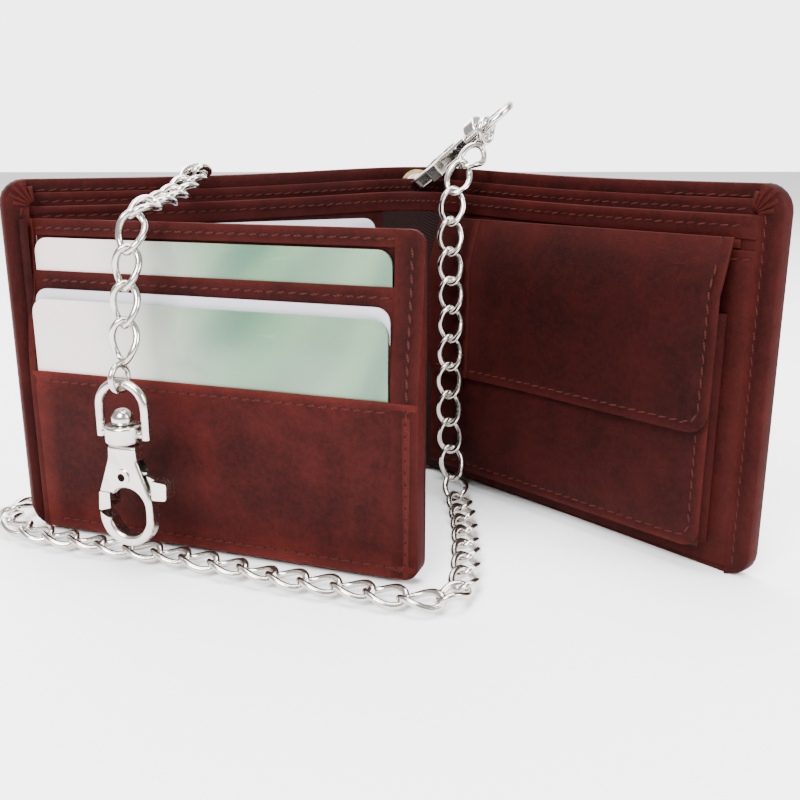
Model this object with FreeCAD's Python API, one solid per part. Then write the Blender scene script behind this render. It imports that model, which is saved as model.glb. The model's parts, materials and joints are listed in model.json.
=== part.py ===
import FreeCAD
import Part
import math
import os

# A bifold leather chain wallet that stands open on its bottom edge, in millimetres.
# +Z is up. The origin is the foot of the spine, midway through its leather.
# Depths are measured inwards from the outer face of each half.

Vector = FreeCAD.Vector
UP = Vector(0, 0, 1)

# Driving dimensions of the two halves
SPINE_HEIGHT = 84.0        # the cover rises a little over the spine
COVER_HEIGHT = 82.0        # bottom edge to top edge of the outer cover
HALF_LENGTH = 109.0        # fold corner to outer edge
LEFT_ANGLE = 27.0          # how far each half turns towards the front
RIGHT_ANGLE = 51.0
COVER_THICK = 1.4
LINING_THICK = 0.3
LAYER_THICK = 0.7
CORNER_RADIUS = 6.0
SPINE_FLAT = 6.4           # half-length that the flat of the spine takes from each half
SPINE_REACH = 9.6          # where the spine leather stops on each half
LAYER_START = 10.2         # inner layers start clear of the fold
LAYER_END = 104.0          # inner layers end at the side binding
DIVIDER_TOP = 78.5
PANEL_TOP = 76.0
LAYER_FOOT = 1.5

# Card flap on the left half
WING_ANGLE = 21.0
WING_WIDTH = 94.5
WING_FOOT = 1.5
WING_TOP = 73.5
WING_SEAM_U = 107.1
WING_SEAM_DEPTH = 7.0
WING_BACK = 4.9            # depth from the front face to the back face
SLOT_START = 1.7
SLOT_END = 88.3
SLOT_TOPS = (39.5, 50.8, 62.2)
CARD_WIDTH = 85.6
CARD_HEIGHT = 54.0
CARD_THICK = 0.7
CARD_RADIUS = 3.2

# Coin pocket on the right half
COIN_START = 17.0
COIN_END = 99.5
COIN_TOP = 56.0
COIN_FOOT = 5.5
COIN_DEPTH = 3.8
PLY_GAP = 0.02              # keeps the faces of neighbouring sloped layers apart
FLAP_START = 32.2
FLAP_END = 100.5
FLAP_TOP = 70.5
FLAP_FOOT = 31.5
RIGHT_SLOPE = 1.5          # how the right half's layers fan out towards the spine
LEFT_SLOPE = 2.4

# Swivel snap hooks: sizes along a hook are measured down from the top of its loop
LOOP_WIDTH = 12.9
LOOP_BAR = 1.9
LOOP_DROP = 0.15            # the front link's centre above the top of its loop
SIDE_BAR_DROP = 6.4        # where the rear link hangs on the side of its loop
SIDE_LINK_SAG = 0.8
COLLAR_TOP = 9.8
COLLAR_FOOT = 13.6
COLLAR_RADIUS = 3.9
BALL_RADIUS = 2.35
BALL_DROP = 8.6
SHANK_RADIUS = 1.1
NECK_TOP = 14.2
HOOK_FOOT = 36.8
HOOK_WIDTH = 13.3
HOOK_THICK = 3.6
EYE = (-3.95, 4.95, -34.4, -23.6)
PIVOT_DROP = 21.0
PIN_RADIUS = 1.25
PIN_BORE = 0.9
PIN_HEAD = 1.75
SLOT_WIDTH = 2.1
LEVER_THICK = 1.1
GATE_DROP = (24.7, 29.5)
GATE_REACH = 10.6          # the gate swings inside this radius about its pin

# Chain: plain tubes whose width is the mean of the links' width and thickness
CHAIN_RADIUS = 2.6
END_LINK_RADIUS = 2.8
END_LINK_WIRE = 0.65

# Grommet in the spine, through which the rear hook holds the wallet
GROMMET_HEIGHT = 78.9
GROMMET_BORE = 3.25
GROMMET_BARREL = 3.6
GROMMET_FLANGE = 4.4
GROMMET_LIP = 0.5

FRONT_HOOK_ALONG = 33.0    # place of the front hook's axis on the card flap
FRONT_HOOK_OUT = 11.4
FRONT_HOOK_TOP = 42.6

REAR_HOOK_TOP = Vector(22.4, -18.65, 99.2)
REAR_HOOK_AXIS = Vector(0.634, -0.535, 0.560)

MAIN_CHAIN_ROUTE = [
    (15.0, -19.2, 88.2), (11.8, -22.6, 86.2), (7.9, -26.9, 79.8), (6.9, -28.1, 68.4),
    (7.6, -27.6, 48.0), (7.0, -28.4, 24.0), (7.9, -28.8, 11.0), (8.7, -32.6, 3.9),
    (9.2, -40.0, 2.6), (9.4, -51.0, 2.6), (8.6, -66.0, 2.6), (7.4, -80.0, 2.6),
    (5.8, -89.5, 2.6), (1.2, -94.8, 2.6), (-5.6, -94.0, 2.6), (-15.5, -89.4, 2.6),
    (-29.0, -84.6, 2.6), (-46.0, -76.4, 2.6), (-63.0, -68.8, 2.6), (-80.0, -63.3, 2.6),
    (-92.0, -57.6, 2.6), (-99.6, -51.6, 2.6), (-101.6, -43.8, 2.6), (-97.6, -36.4, 2.6),
    (-89.0, -30.8, 2.6), (-79.4, -26.6, 5.0), (-70.6, -22.0, 13.0), (-63.6, -18.8, 27.0),
    (-59.2, -16.0, 47.0), (-56.8, -15.4, 65.0), (-55.6, -15.8, 77.0), (-55.1, -17.0, 83.4),
    (-54.8, -19.6, 86.0), (-54.65, -23.0, 86.0),
]
BRIDGE_CHAIN_ROUTE = [
    (-54.65, -23.0, 86.0), (-54.5, -26.4, 86.0), (-54.6, -32.2, 84.2), (-55.8, -40.8, 80.8),
    (-57.3, -49.6, 78.0), (-58.4, -56.5, 77.4),
]
FRONT_CHAIN_ROUTE = [
    (-58.7, -58.0, 77.3), (-60.2, -62.7, 77.1), (-61.5, -66.4, 73.0), (-62.4, -68.9, 65.5),
    (-63.0, -70.7, 56.0), (-63.4, -72.3, 46.6),
]


def turned(angle, base=Vector()):
    """A frame turned about the upright axis."""
    return FreeCAD.Placement(base, FreeCAD.Rotation(UP, angle))


FOLD_ANGLE = 180 - LEFT_ANGLE - RIGHT_ANGLE
SPINE_DEPTH = SPINE_FLAT * math.cos(math.radians(FOLD_ANGLE / 2))
SPINE_TURN = (LEFT_ANGLE - RIGHT_ANGLE) / 2
SPINE_OUT = turned(SPINE_TURN).multVec(Vector(0, 1, 0))
FOLD_CORNER = SPINE_OUT * (SPINE_DEPTH + COVER_THICK / 2)
LEFT = turned(180 + LEFT_ANGLE, FOLD_CORNER)
RIGHT = turned(-RIGHT_ANGLE, FOLD_CORNER)
SPINE = turned(SPINE_TURN, SPINE_OUT * (COVER_THICK / 2))
WING = turned(-WING_ANGLE, LEFT.multVec(Vector(WING_SEAM_U, WING_SEAM_DEPTH, 0)))


def corner_arc(before, point, after, radius):
    """The two tangent points and the middle of the arc that rounds a corner."""
    to_before = (before - point).normalize()
    to_after = (after - point).normalize()
    half = to_before.getAngle(to_after) / 2
    reach = radius / math.tan(half)
    middle = (to_before + to_after).normalize()
    centre = point + middle * (radius / math.sin(half))
    return point + to_before * reach, centre - middle * radius, point + to_after * reach


def outline(corners):
    """A closed flat wire from (x, z, radius) corners."""
    points = [Vector(x, 0, z) for x, z, _ in corners]
    count = len(points)
    edges, starts, ends = [], [], []
    for n, (_, _, radius) in enumerate(corners):
        if radius:
            start, middle, end = corner_arc(points[n - 1], points[n], points[(n + 1) % count], radius)
            edges.append(Part.Arc(start, middle, end).toShape())
        else:
            start = end = points[n]
        starts.append(start)
        ends.append(end)
    for n in range(count):
        if ends[n].distanceToPoint(starts[(n + 1) % count]) > 1e-6:
            edges.append(Part.LineSegment(ends[n], starts[(n + 1) % count]).toShape())
    return Part.Wire(Part.__sortEdges__(edges))


def plate(corners, y0, y1):
    """A flat outline given thickness along y."""
    solid = Part.Face(outline(corners)).extrude(Vector(0, y1 - y0, 0))
    solid.translate(Vector(0, y0, 0))
    return solid


def rectangle(x0, x1, z0, z1, radii=(0, 0, 0, 0)):
    """Corners from bottom left, anticlockwise, each with its radius."""
    return list(zip((x0, x1, x1, x0), (z0, z0, z1, z1), radii))


def placed(shape, frame):
    moved = shape.copy()
    moved.Placement = frame.multiply(moved.Placement)
    return moved


def bar(x0, x1, y0, y1, z0, z1):
    return Part.makeBox(x1 - x0, y1 - y0, z1 - z0, Vector(x0, y0, z0))


def rod(radius, length, base, axis):
    return Part.makeCylinder(radius, length, base, axis)


def layer(side, corners, depth, thick, slope=0.0):
    """A leather layer of one half. It is depth in from the outer face at the side binding and fans
    out towards the spine by the slope."""
    sign = 1 if side is LEFT else -1
    solid = plate(corners, min(0, sign * thick), max(0, sign * thick))
    solid.rotate(Vector(LAYER_END, 0, 0), UP, -sign * slope)
    solid.translate(Vector(0, sign * depth, 0))
    return placed(solid, side)


def cover(side):
    start = SPINE_REACH if side is LEFT else LAYER_START
    round_end = (0, CORNER_RADIUS, CORNER_RADIUS, 0)
    return layer(side, rectangle(start, HALF_LENGTH, 0, COVER_HEIGHT, round_end), 0, COVER_THICK)


def spine_leather(z0, z1, inset, thick, reach):
    """The bent strip round the fold, flat across the spine."""
    def ring(depth):
        left_in = LEFT.Rotation.multVec(Vector(0, 1, 0))
        right_in = RIGHT.Rotation.multVec(Vector(0, -1, 0))
        spine_in = SPINE_OUT * -1
        points = [LEFT.multVec(Vector(reach, depth, 0))]
        for side, inward in ((LEFT, left_in), (RIGHT, right_in)):
            middle = (inward + spine_in).normalize()
            corner = side.multVec(Vector(SPINE_FLAT, 0, 0))
            points.append(corner + middle * (depth / middle.dot(inward)))
        points.append(RIGHT.multVec(Vector(reach, -depth, 0)))
        return points
    loop = ring(inset) + ring(inset + thick)[::-1]
    face = Part.Face(Part.makePolygon(loop + loop[:1]))
    solid = face.extrude(Vector(0, 0, z1 - z0))
    solid.translate(Vector(0, 0, z0))
    return solid


def washer(outer, bore, y0, y1):
    base = Vector(0, y0, 0)
    along = Vector(0, 1, 0)
    return rod(outer, y1 - y0, base, along).cut(rod(bore, y1 - y0, base, along))


def grommet_parts():
    """The eyelet, its barrel through the spine leather, and the washer behind."""
    inner = -COVER_THICK
    eyelet = washer(GROMMET_FLANGE, GROMMET_BORE, inner - GROMMET_LIP, inner)
    eyelet = eyelet.fuse(washer(GROMMET_BARREL, GROMMET_BORE, inner, GROMMET_LIP)).removeSplitter()
    back = washer(GROMMET_FLANGE, GROMMET_BARREL, 0, GROMMET_LIP)
    hole = rod(GROMMET_BARREL, 2 * COVER_THICK, Vector(0, -1.5 * COVER_THICK, 0), Vector(0, 1, 0))
    frame = SPINE.multiply(FreeCAD.Placement(Vector(0, 0, GROMMET_HEIGHT), FreeCAD.Rotation()))
    return [placed(shape, frame) for shape in (eyelet, back, hole)]


def tube(points, radius, name):
    """A plain tube on straight runs and tangent arcs, each as large as its runs allow."""
    route = [Vector(*p) for p in points]
    edges, last = [], route[0]
    radii = []
    for before, point, after in zip(route, route[1:], route[2:]):
        turn = (point - before).getAngle(after - point)
        shorter = min(before.distanceToPoint(point), point.distanceToPoint(after))
        bend = 0.45 * shorter / math.tan(turn / 2)
        start, middle, end = corner_arc(before, point, after, bend)
        edges.append(Part.LineSegment(last, start).toShape())
        edges.append(Part.Arc(start, middle, end).toShape())
        radii.append(round(bend, 1))
        last = end
    edges.append(Part.LineSegment(last, route[-1]).toShape())
    path = Part.Wire(edges)
    section = Part.Wire(Part.makeCircle(radius, route[0], route[1] - route[0]))
    solid = path.makePipeShell([section], True, False)
    expected = math.pi * radius ** 2 * path.Length
    print(name, "length", round(path.Length, 1), "radii", radii, "volume ratio",
          round(solid.Volume / expected, 4))
    return solid


def bent_rod(corners, radius):
    """A rod that follows flat (x, z, radius) corners, open at both ends."""
    points = [Vector(x, 0, z) for x, z, _ in corners]
    edges, last = [], points[0]
    for n in range(1, len(points) - 1):
        start, middle, end = corner_arc(points[n - 1], points[n], points[n + 1], corners[n][2])
        edges.append(Part.LineSegment(last, start).toShape())
        edges.append(Part.Arc(start, middle, end).toShape())
        last = end
    edges.append(Part.LineSegment(last, points[-1]).toShape())
    section = Part.Wire(Part.makeCircle(radius, points[0], points[1] - points[0]))
    return Part.Wire(edges).makePipeShell([section], True, False)


def snap_loop():
    """The D-shaped loop and the collar that the hook swivels in."""
    half = (LOOP_WIDTH - LOOP_BAR) / 2
    top = -LOOP_BAR / 2
    foot = -(COLLAR_TOP + COLLAR_FOOT) / 2
    end = foot - LOOP_BAR / 2
    bow = bent_rod([(-half, end, 0), (-half, top, 5.2), (half, top, 5.2), (half, end, 0)], LOOP_BAR / 2)
    bow = bow.fuse(rod(LOOP_BAR / 2 - 0.1, 2 * half, Vector(-half, 0, foot), Vector(1, 0, 0)))
    collar = rod(COLLAR_RADIUS, COLLAR_FOOT - COLLAR_TOP, Vector(0, 0, -COLLAR_FOOT), UP)
    collar = collar.makeFillet(0.6, [e for e in collar.Edges if isinstance(e.Curve, Part.Circle)])
    solid = bow.fuse(collar).removeSplitter()
    solid = solid.cut(rod(SHANK_RADIUS + 0.15, 6, Vector(0, 0, -COLLAR_FOOT - 1), UP))
    return solid.cut(Part.makeSphere(BALL_RADIUS + 0.15, Vector(0, 0, -BALL_DROP)))


def snap_stud():
    """The round-headed stud that joins the hook to its collar."""
    ball = Part.makeSphere(BALL_RADIUS, Vector(0, 0, -BALL_DROP))
    shank = rod(SHANK_RADIUS, NECK_TOP + 2 - BALL_DROP, Vector(0, 0, -NECK_TOP - 2), UP)
    return ball.fuse(shank).removeSplitter()


def snap_body():
    """The claw: a drop-shaped body with its eye, gate gap, lever slot and pin hole."""
    half = HOOK_WIDTH / 2
    right = [(half, -HOOK_FOOT, half - 0.05), (half, -26.0, 9.0), (3.5, -17.2, 4.5), (3.3, -NECK_TOP, 0.6)]
    left = [(-x, z, r) for x, z, r in right[::-1]]
    body = plate(right + left, -HOOK_THICK / 2, HOOK_THICK / 2)
    body = body.cut(plate(rectangle(*EYE, (4.4, 4.4, 4.4, 4.4)), -HOOK_THICK, HOOK_THICK))
    faces = [f for f in body.Faces if abs(abs(f.CenterOfMass.y) - HOOK_THICK / 2) < 1e-3]
    rims = [e for f in faces for e in f.Edges]
    body = body.makeFillet(0.8, rims)
    body = body.cut(bar(-half - 1, -2.6, -HOOK_THICK, HOOK_THICK, -GATE_DROP[1], -GATE_DROP[0]))
    swing = rod(GATE_REACH, 9, Vector(0, -4.5, -PIVOT_DROP), Vector(0, 1, 0))
    body = body.cut(swing.common(bar(-half - 1, -2.6, -HOOK_THICK, HOOK_THICK, -32, -GATE_DROP[0])))
    body = body.cut(bar(-half - 1, half + 1, -SLOT_WIDTH / 2, SLOT_WIDTH / 2, -25.6, -17.4))
    body = body.cut(rod(PIN_RADIUS, 9, Vector(0, -4.5, -PIVOT_DROP), Vector(0, 1, 0)))
    return body.cut(rod(SHANK_RADIUS, 3, Vector(0, 0, -NECK_TOP - 2), UP))


def snap_lever():
    """The gate, its hub and the thumb tab, in one piece."""
    half = LEVER_THICK / 2
    hub = rod(2.2, LEVER_THICK, Vector(0, -half, -PIVOT_DROP), Vector(0, 1, 0))
    arm = plate([(1.0, -23.0, 0), (6.6, -24.6, 1.0), (7.4, -21.4, 0), (1.0, -19.0, 0)], -half, half)
    tab = plate([(6.9, -25.4, 0.5), (10.4, -25.2, 0.8), (10.6, -21.5, 0.5), (6.9, -21.2, 0.3)], -1.7, 1.7)
    gate_arm = plate([(-3.6, -25.6, 0), (0.2, -22.8, 0), (-1.2, -19.4, 0), (-5.6, -22.6, 1.0),
                      (-6.3, -25.6, 0)], -half, half)
    jaw = plate([(-6.5, -29.3, 0.4), (-3.6, -28.4, 0.4), (-3.5, -24.9, 0.3), (-6.1, -24.9, 0.3)], -1.8, 1.8)
    lever = hub.fuse([arm, tab, gate_arm, jaw]).removeSplitter()
    return lever.cut(rod(PIN_RADIUS + 0.1, 9, Vector(0, -4.5, -PIVOT_DROP), Vector(0, 1, 0)))


def snap_pin():
    """The tubular rivet that the lever turns on."""
    face = HOOK_THICK / 2
    pin = washer(PIN_RADIUS, PIN_BORE, -face, face)
    for y0, y1 in ((-face - 0.35, -face), (face, face + 0.35)):
        pin = pin.fuse(washer(PIN_HEAD, PIN_BORE, y0, y1))
    pin = pin.removeSplitter()
    pin.translate(Vector(0, 0, -PIVOT_DROP))
    return pin


def snap_spring():
    """The torsion spring beside the lever's hub."""
    side = (LEVER_THICK + SLOT_WIDTH) / 4
    coil = Part.makeTorus(1.65, 0.2, Vector(0, side, -PIVOT_DROP), Vector(0, 1, 0))
    leg = rod(0.15, 2.2, Vector(-1.65, side, -PIVOT_DROP), UP)
    return coil.fuse(leg)


def snap_end_link(centre, normal):
    return Part.makeTorus(END_LINK_RADIUS, END_LINK_WIRE, centre, normal)


def snap_frame(top, along, lever_side):
    """A frame whose z runs back along the hook to its loop's top and whose x points to the lever."""
    z = Vector(along).normalize()
    x = (lever_side - z * lever_side.dot(z)).normalize()
    y = z.cross(x)
    matrix = FreeCAD.Matrix(x.x, y.x, z.x, top.x, x.y, y.y, z.y, top.y, x.z, y.z, z.z, top.z, 0, 0, 0, 1)
    return FreeCAD.Placement(matrix)


SNAP_PIECES = {
    "loop": snap_loop,
    "swivel_stud": snap_stud,
    "hook": snap_body,
    "gate_lever": snap_lever,
    "lever_pin": snap_pin,
    "lever_spring": snap_spring,
}


def halves():
    """Covers, linings, dividers and inner panels of both halves."""
    nodes = {}
    for word, side, slope in (("left", LEFT, LEFT_SLOPE), ("right", RIGHT, RIGHT_SLOPE)):
        nodes["cover_" + word] = cover(side)
        lining = rectangle(LAYER_START, LAYER_END - 0.3, LAYER_FOOT, COVER_HEIGHT - 3)
        nodes["bill_lining_" + word] = layer(side, lining, COVER_THICK, LINING_THICK)
        divider_start = LAYER_START if side is LEFT else LAYER_START + 4
        divider = rectangle(divider_start, LAYER_END - 0.3, LAYER_FOOT, DIVIDER_TOP)
        nodes["bill_divider_" + word] = layer(side, divider, COVER_THICK + 0.4, LAYER_THICK, slope / 2)
        panel = rectangle(LAYER_START, LAYER_END - 0.2, LAYER_FOOT, PANEL_TOP)
        nodes["inner_panel_" + word] = layer(side, panel, COVER_THICK + 1.3, LAYER_THICK, slope)
        seam = rectangle(LAYER_START, LAYER_END, 0.4, LAYER_FOOT - 0.1)
        nodes["bottom_seam_" + word] = layer(side, seam, COVER_THICK, 1.6)
        binding = rectangle(LAYER_END, HALF_LENGTH - 0.5, 0.6, PANEL_TOP, (0, 3, 3, 0))
        nodes["side_binding_" + word] = layer(side, binding, COVER_THICK, 4.4 if side is LEFT else 2.4)
    return nodes


def left_pocket():
    pocket = rectangle(16.5, 100.0, LAYER_FOOT + 0.1, 60.0)
    strip = rectangle(106.3, 108.3, WING_FOOT, WING_TOP)
    return {
        "slip_pocket_left": layer(LEFT, pocket, COVER_THICK + 2.95, 0.5, LEFT_SLOPE),
        "wing_hinge_strip": layer(LEFT, strip, COVER_THICK + 4.4, 0.7),
    }


def coin_pocket():
    """Flat back pocket, gusset, front and the flap over them."""
    base = COVER_THICK + 1.3 + LAYER_THICK + PLY_GAP
    gusset_base = base + 0.6 + PLY_GAP
    front = gusset_base + COIN_DEPTH + PLY_GAP
    back = rectangle(COIN_START, LAYER_END - 0.1, LAYER_FOOT + 0.1, 69.0)
    outer = rectangle(COIN_START, COIN_END, COIN_FOOT, COIN_TOP)
    hollow = rectangle(COIN_START + 1.2, COIN_END - 1.2, COIN_FOOT + 1.2, COIN_TOP + 1)
    gusset = layer(RIGHT, outer, gusset_base, COIN_DEPTH, RIGHT_SLOPE)
    gusset = gusset.cut(layer(RIGHT, hollow, base, COIN_DEPTH + 1, RIGHT_SLOPE))
    tuck = rectangle(FLAP_START, FLAP_END, 69.2, 71.2)
    flap = rectangle(FLAP_START, FLAP_END, FLAP_FOOT, FLAP_TOP, (5, 4.5, 0, 0))
    lining = rectangle(FLAP_START + 1, FLAP_END - 1, FLAP_FOOT + 1, FLAP_TOP - 1, (5, 4.5, 0, 0))
    return {
        "back_pocket_right": layer(RIGHT, back, base, 0.6, RIGHT_SLOPE),
        "coin_gusset": gusset,
        "coin_pocket_front": layer(RIGHT, outer, front, LAYER_THICK, RIGHT_SLOPE),
        "flap_tuck_strip": layer(RIGHT, tuck, base, front - base, RIGHT_SLOPE),
        "coin_flap": layer(RIGHT, flap, front + 1.4, 0.9, RIGHT_SLOPE),
        "coin_flap_lining": layer(RIGHT, lining, front + 1.1, 0.3 - PLY_GAP, RIGHT_SLOPE),
    }


def card_wing():
    """The flip-out card flap: back, borders and three stepped card slots."""
    ends = (0, 3, 3, 0)
    nodes = {
        "wing_back": plate(rectangle(2.0, WING_WIDTH, WING_FOOT, WING_TOP, ends), 4.2, WING_BACK),
        "wing_border_right": plate(rectangle(SLOT_END, WING_WIDTH, WING_FOOT, WING_TOP, ends), -0.4, 4.2),
        "wing_border_left": plate(rectangle(0.8, SLOT_START, WING_FOOT, WING_TOP), 0, 2.0),
        "wing_border_top": plate(rectangle(SLOT_START, SLOT_END, 70.2, WING_TOP), 3.75, 4.2),
    }
    slots = zip(("lower", "middle", "upper"), SLOT_TOPS, ((-0.4, 0.2), (1.1, 1.6), (2.5, 2.9)))
    for word, top, (y0, y1) in slots:
        nodes["card_slot_" + word] = plate(rectangle(SLOT_START, SLOT_END, WING_FOOT, top), y0, y1)
    return {name: placed(shape, WING) for name, shape in nodes.items()}


def cards():
    """Four plain payment-size cards."""
    nodes = {}
    radii = (CARD_RADIUS,) * 4
    for word, foot, y0 in (("front", 2.0, 0.3), ("middle", 4.2, 1.7), ("top", 15.4, 3.0)):
        shape = rectangle(2.2, 2.2 + CARD_WIDTH, foot, foot + CARD_HEIGHT, radii)
        nodes["card_" + word] = placed(plate(shape, y0, y0 + CARD_THICK), WING)
    shape = rectangle(18.0, 18.0 + CARD_WIDTH, 17.0, 17.0 + CARD_HEIGHT, radii)
    nodes["card_left"] = layer(LEFT, shape, COVER_THICK + 2.1, CARD_THICK, LEFT_SLOPE)
    return nodes


def hooks():
    """Front and rear swivel hooks with the small links that join them to the chain."""
    top = WING.multVec(Vector(FRONT_HOOK_ALONG, -FRONT_HOOK_OUT, FRONT_HOOK_TOP))
    front = snap_frame(top, UP, WING.Rotation.multVec(Vector(1, 0, 0)))
    tilt = Vector(-REAR_HOOK_AXIS.z, 0, REAR_HOOK_AXIS.x)
    rear = snap_frame(REAR_HOOK_TOP, REAR_HOOK_AXIS, REAR_HOOK_AXIS.cross(tilt))
    nodes = {}
    for end, frame in (("front", front), ("rear", rear)):
        for piece, make in SNAP_PIECES.items():
            nodes[end + "_" + piece] = placed(make(), frame)
    link_centre = top + Vector(0, 0, LOOP_DROP)
    nodes["front_end_link"] = snap_end_link(link_centre, front.Rotation.multVec(Vector(1, 0, 0)))
    side_bar = rear.multVec(Vector((LOOP_WIDTH - LOOP_BAR) / 2, 0, -SIDE_BAR_DROP))
    flat = Vector(REAR_HOOK_AXIS.x, REAR_HOOK_AXIS.y, 0)
    nodes["rear_end_link"] = snap_end_link(side_bar - UP * SIDE_LINK_SAG, flat)
    return nodes


def chains():
    routes = {
        "chain_main": MAIN_CHAIN_ROUTE,
        "chain_bridge": BRIDGE_CHAIN_ROUTE,
        "chain_front_drop": FRONT_CHAIN_ROUTE,
    }
    return {name: tube(route, CHAIN_RADIUS, name) for name, route in routes.items()}


def build():
    nodes = halves()
    eyelet, back, hole = grommet_parts()
    nodes["spine_cover"] = spine_leather(0, SPINE_HEIGHT, 0, COVER_THICK, SPINE_REACH).cut(hole)
    nodes["spine_lining"] = spine_leather(LAYER_FOOT, 73.0, 3.6, 0.6, LAYER_START - 0.4)
    nodes["spine_eyelet"] = eyelet
    nodes["spine_washer"] = back
    for group in (left_pocket, coin_pocket, card_wing, cards, hooks, chains):
        nodes.update(group())
    return nodes


os.makedirs("parts", exist_ok=True)
for node, solid in build().items():
    if not solid.isValid() or len(solid.Solids) != 1:
        print("check", node, solid.isValid(), len(solid.Solids))
    solid.exportStep("parts/" + node + ".step")
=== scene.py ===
"""Chain wallet: the looks of a bifold leather wallet, its cards, snap hooks and curb chain."""

import json
import math

import bmesh
import bpy
from bpy.props import FloatProperty, FloatVectorProperty, IntProperty, PointerProperty
from mathutils import Matrix, Vector, noise


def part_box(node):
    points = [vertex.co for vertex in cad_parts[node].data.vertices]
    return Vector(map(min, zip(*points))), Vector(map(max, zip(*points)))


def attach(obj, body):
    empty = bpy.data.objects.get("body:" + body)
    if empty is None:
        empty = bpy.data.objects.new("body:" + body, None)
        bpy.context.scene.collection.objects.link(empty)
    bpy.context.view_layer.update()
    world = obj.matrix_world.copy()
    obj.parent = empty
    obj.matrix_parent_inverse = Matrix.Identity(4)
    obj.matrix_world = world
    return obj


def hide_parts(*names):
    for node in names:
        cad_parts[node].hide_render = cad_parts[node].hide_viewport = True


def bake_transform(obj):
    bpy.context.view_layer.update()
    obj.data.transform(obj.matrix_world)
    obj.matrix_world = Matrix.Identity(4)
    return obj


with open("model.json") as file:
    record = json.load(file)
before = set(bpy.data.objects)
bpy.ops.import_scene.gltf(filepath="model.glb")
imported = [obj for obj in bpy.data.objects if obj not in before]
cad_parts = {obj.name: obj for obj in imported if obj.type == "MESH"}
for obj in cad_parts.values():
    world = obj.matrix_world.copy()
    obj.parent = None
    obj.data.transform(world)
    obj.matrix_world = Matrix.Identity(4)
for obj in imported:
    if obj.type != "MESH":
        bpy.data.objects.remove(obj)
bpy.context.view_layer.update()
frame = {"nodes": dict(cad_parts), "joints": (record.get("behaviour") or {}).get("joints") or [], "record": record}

bl_info = {
    "name": "Chain Wallet",
    "version": (1, 0, 0),
    "blender": (4, 5, 0),
    "location": "3D View > Sidebar > Wallet",
    "description": "Builds a bifold leather wallet with a curb chain and snap hooks",
    "category": "Add Mesh",
}

MM = 0.001
TO_MM = 1000.0
UP = Vector((0, 0, 1))
JOINTS = {joint["name"]: joint for joint in frame["joints"]}

# Places that the frame gives
FOLD = Vector((*JOINTS["spine_fold"]["pos_m"][:2], 0))
LEFT_TURN = math.radians(180 + 27)
RIGHT_TURN = math.radians(-51)
WING_TURN = math.radians(-21)
HALF = 109 * MM
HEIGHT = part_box("cover_left")[1][2]
BORDER = 104 * MM                 # where the inner layers end
SPINE_FLAT = 6.4 * MM
SPINE_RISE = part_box("spine_cover")[1][2] / HEIGHT - 1   # how much taller it is over the spine
RISE_REACH = 42 * MM
LEFT_SLOPE = math.tan(math.radians(2.4))
RIGHT_SLOPE = math.tan(math.radians(1.5))
WING_WIDTH = 94.5 * MM

LEFT = Matrix.Translation(FOLD) @ Matrix.Rotation(LEFT_TURN, 4, "Z")
RIGHT = Matrix.Translation(FOLD) @ Matrix.Rotation(RIGHT_TURN, 4, "Z") @ Matrix.Diagonal((1, -1, 1, 1))
WING = Matrix.Translation(LEFT @ Vector((107.1 * MM, 7 * MM, 0))) @ Matrix.Rotation(WING_TURN, 4, "Z")


# ---------------------------------------------------------------- shader maths

class Value:
    """A socket that can be added, multiplied and so on."""

    def __init__(self, maker, socket):
        self.maker, self.socket = maker, socket

    def _math(self, operation, *others):
        inputs = {n: other for n, other in enumerate((self, *others))}
        return self.maker.node("ShaderNodeMath", {"operation": operation}, inputs)

    def __add__(self, other):
        return self._math("ADD", other)

    def __sub__(self, other):
        return self._math("SUBTRACT", other)

    def __mul__(self, other):
        return self._math("MULTIPLY", other)

    def __rsub__(self, other):
        return self.maker.node("ShaderNodeMath", {"operation": "SUBTRACT"}, {0: other, 1: self})

    __radd__, __rmul__ = __add__, __mul__

    def above(self, low, high):
        """0 below low, 1 above high, smooth between."""
        settings = {"interpolation_type": "SMOOTHSTEP"}
        inputs = {"Value": self, "From Min": low, "From Max": high}
        return self.maker.node("ShaderNodeMapRange", settings, inputs)


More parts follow.
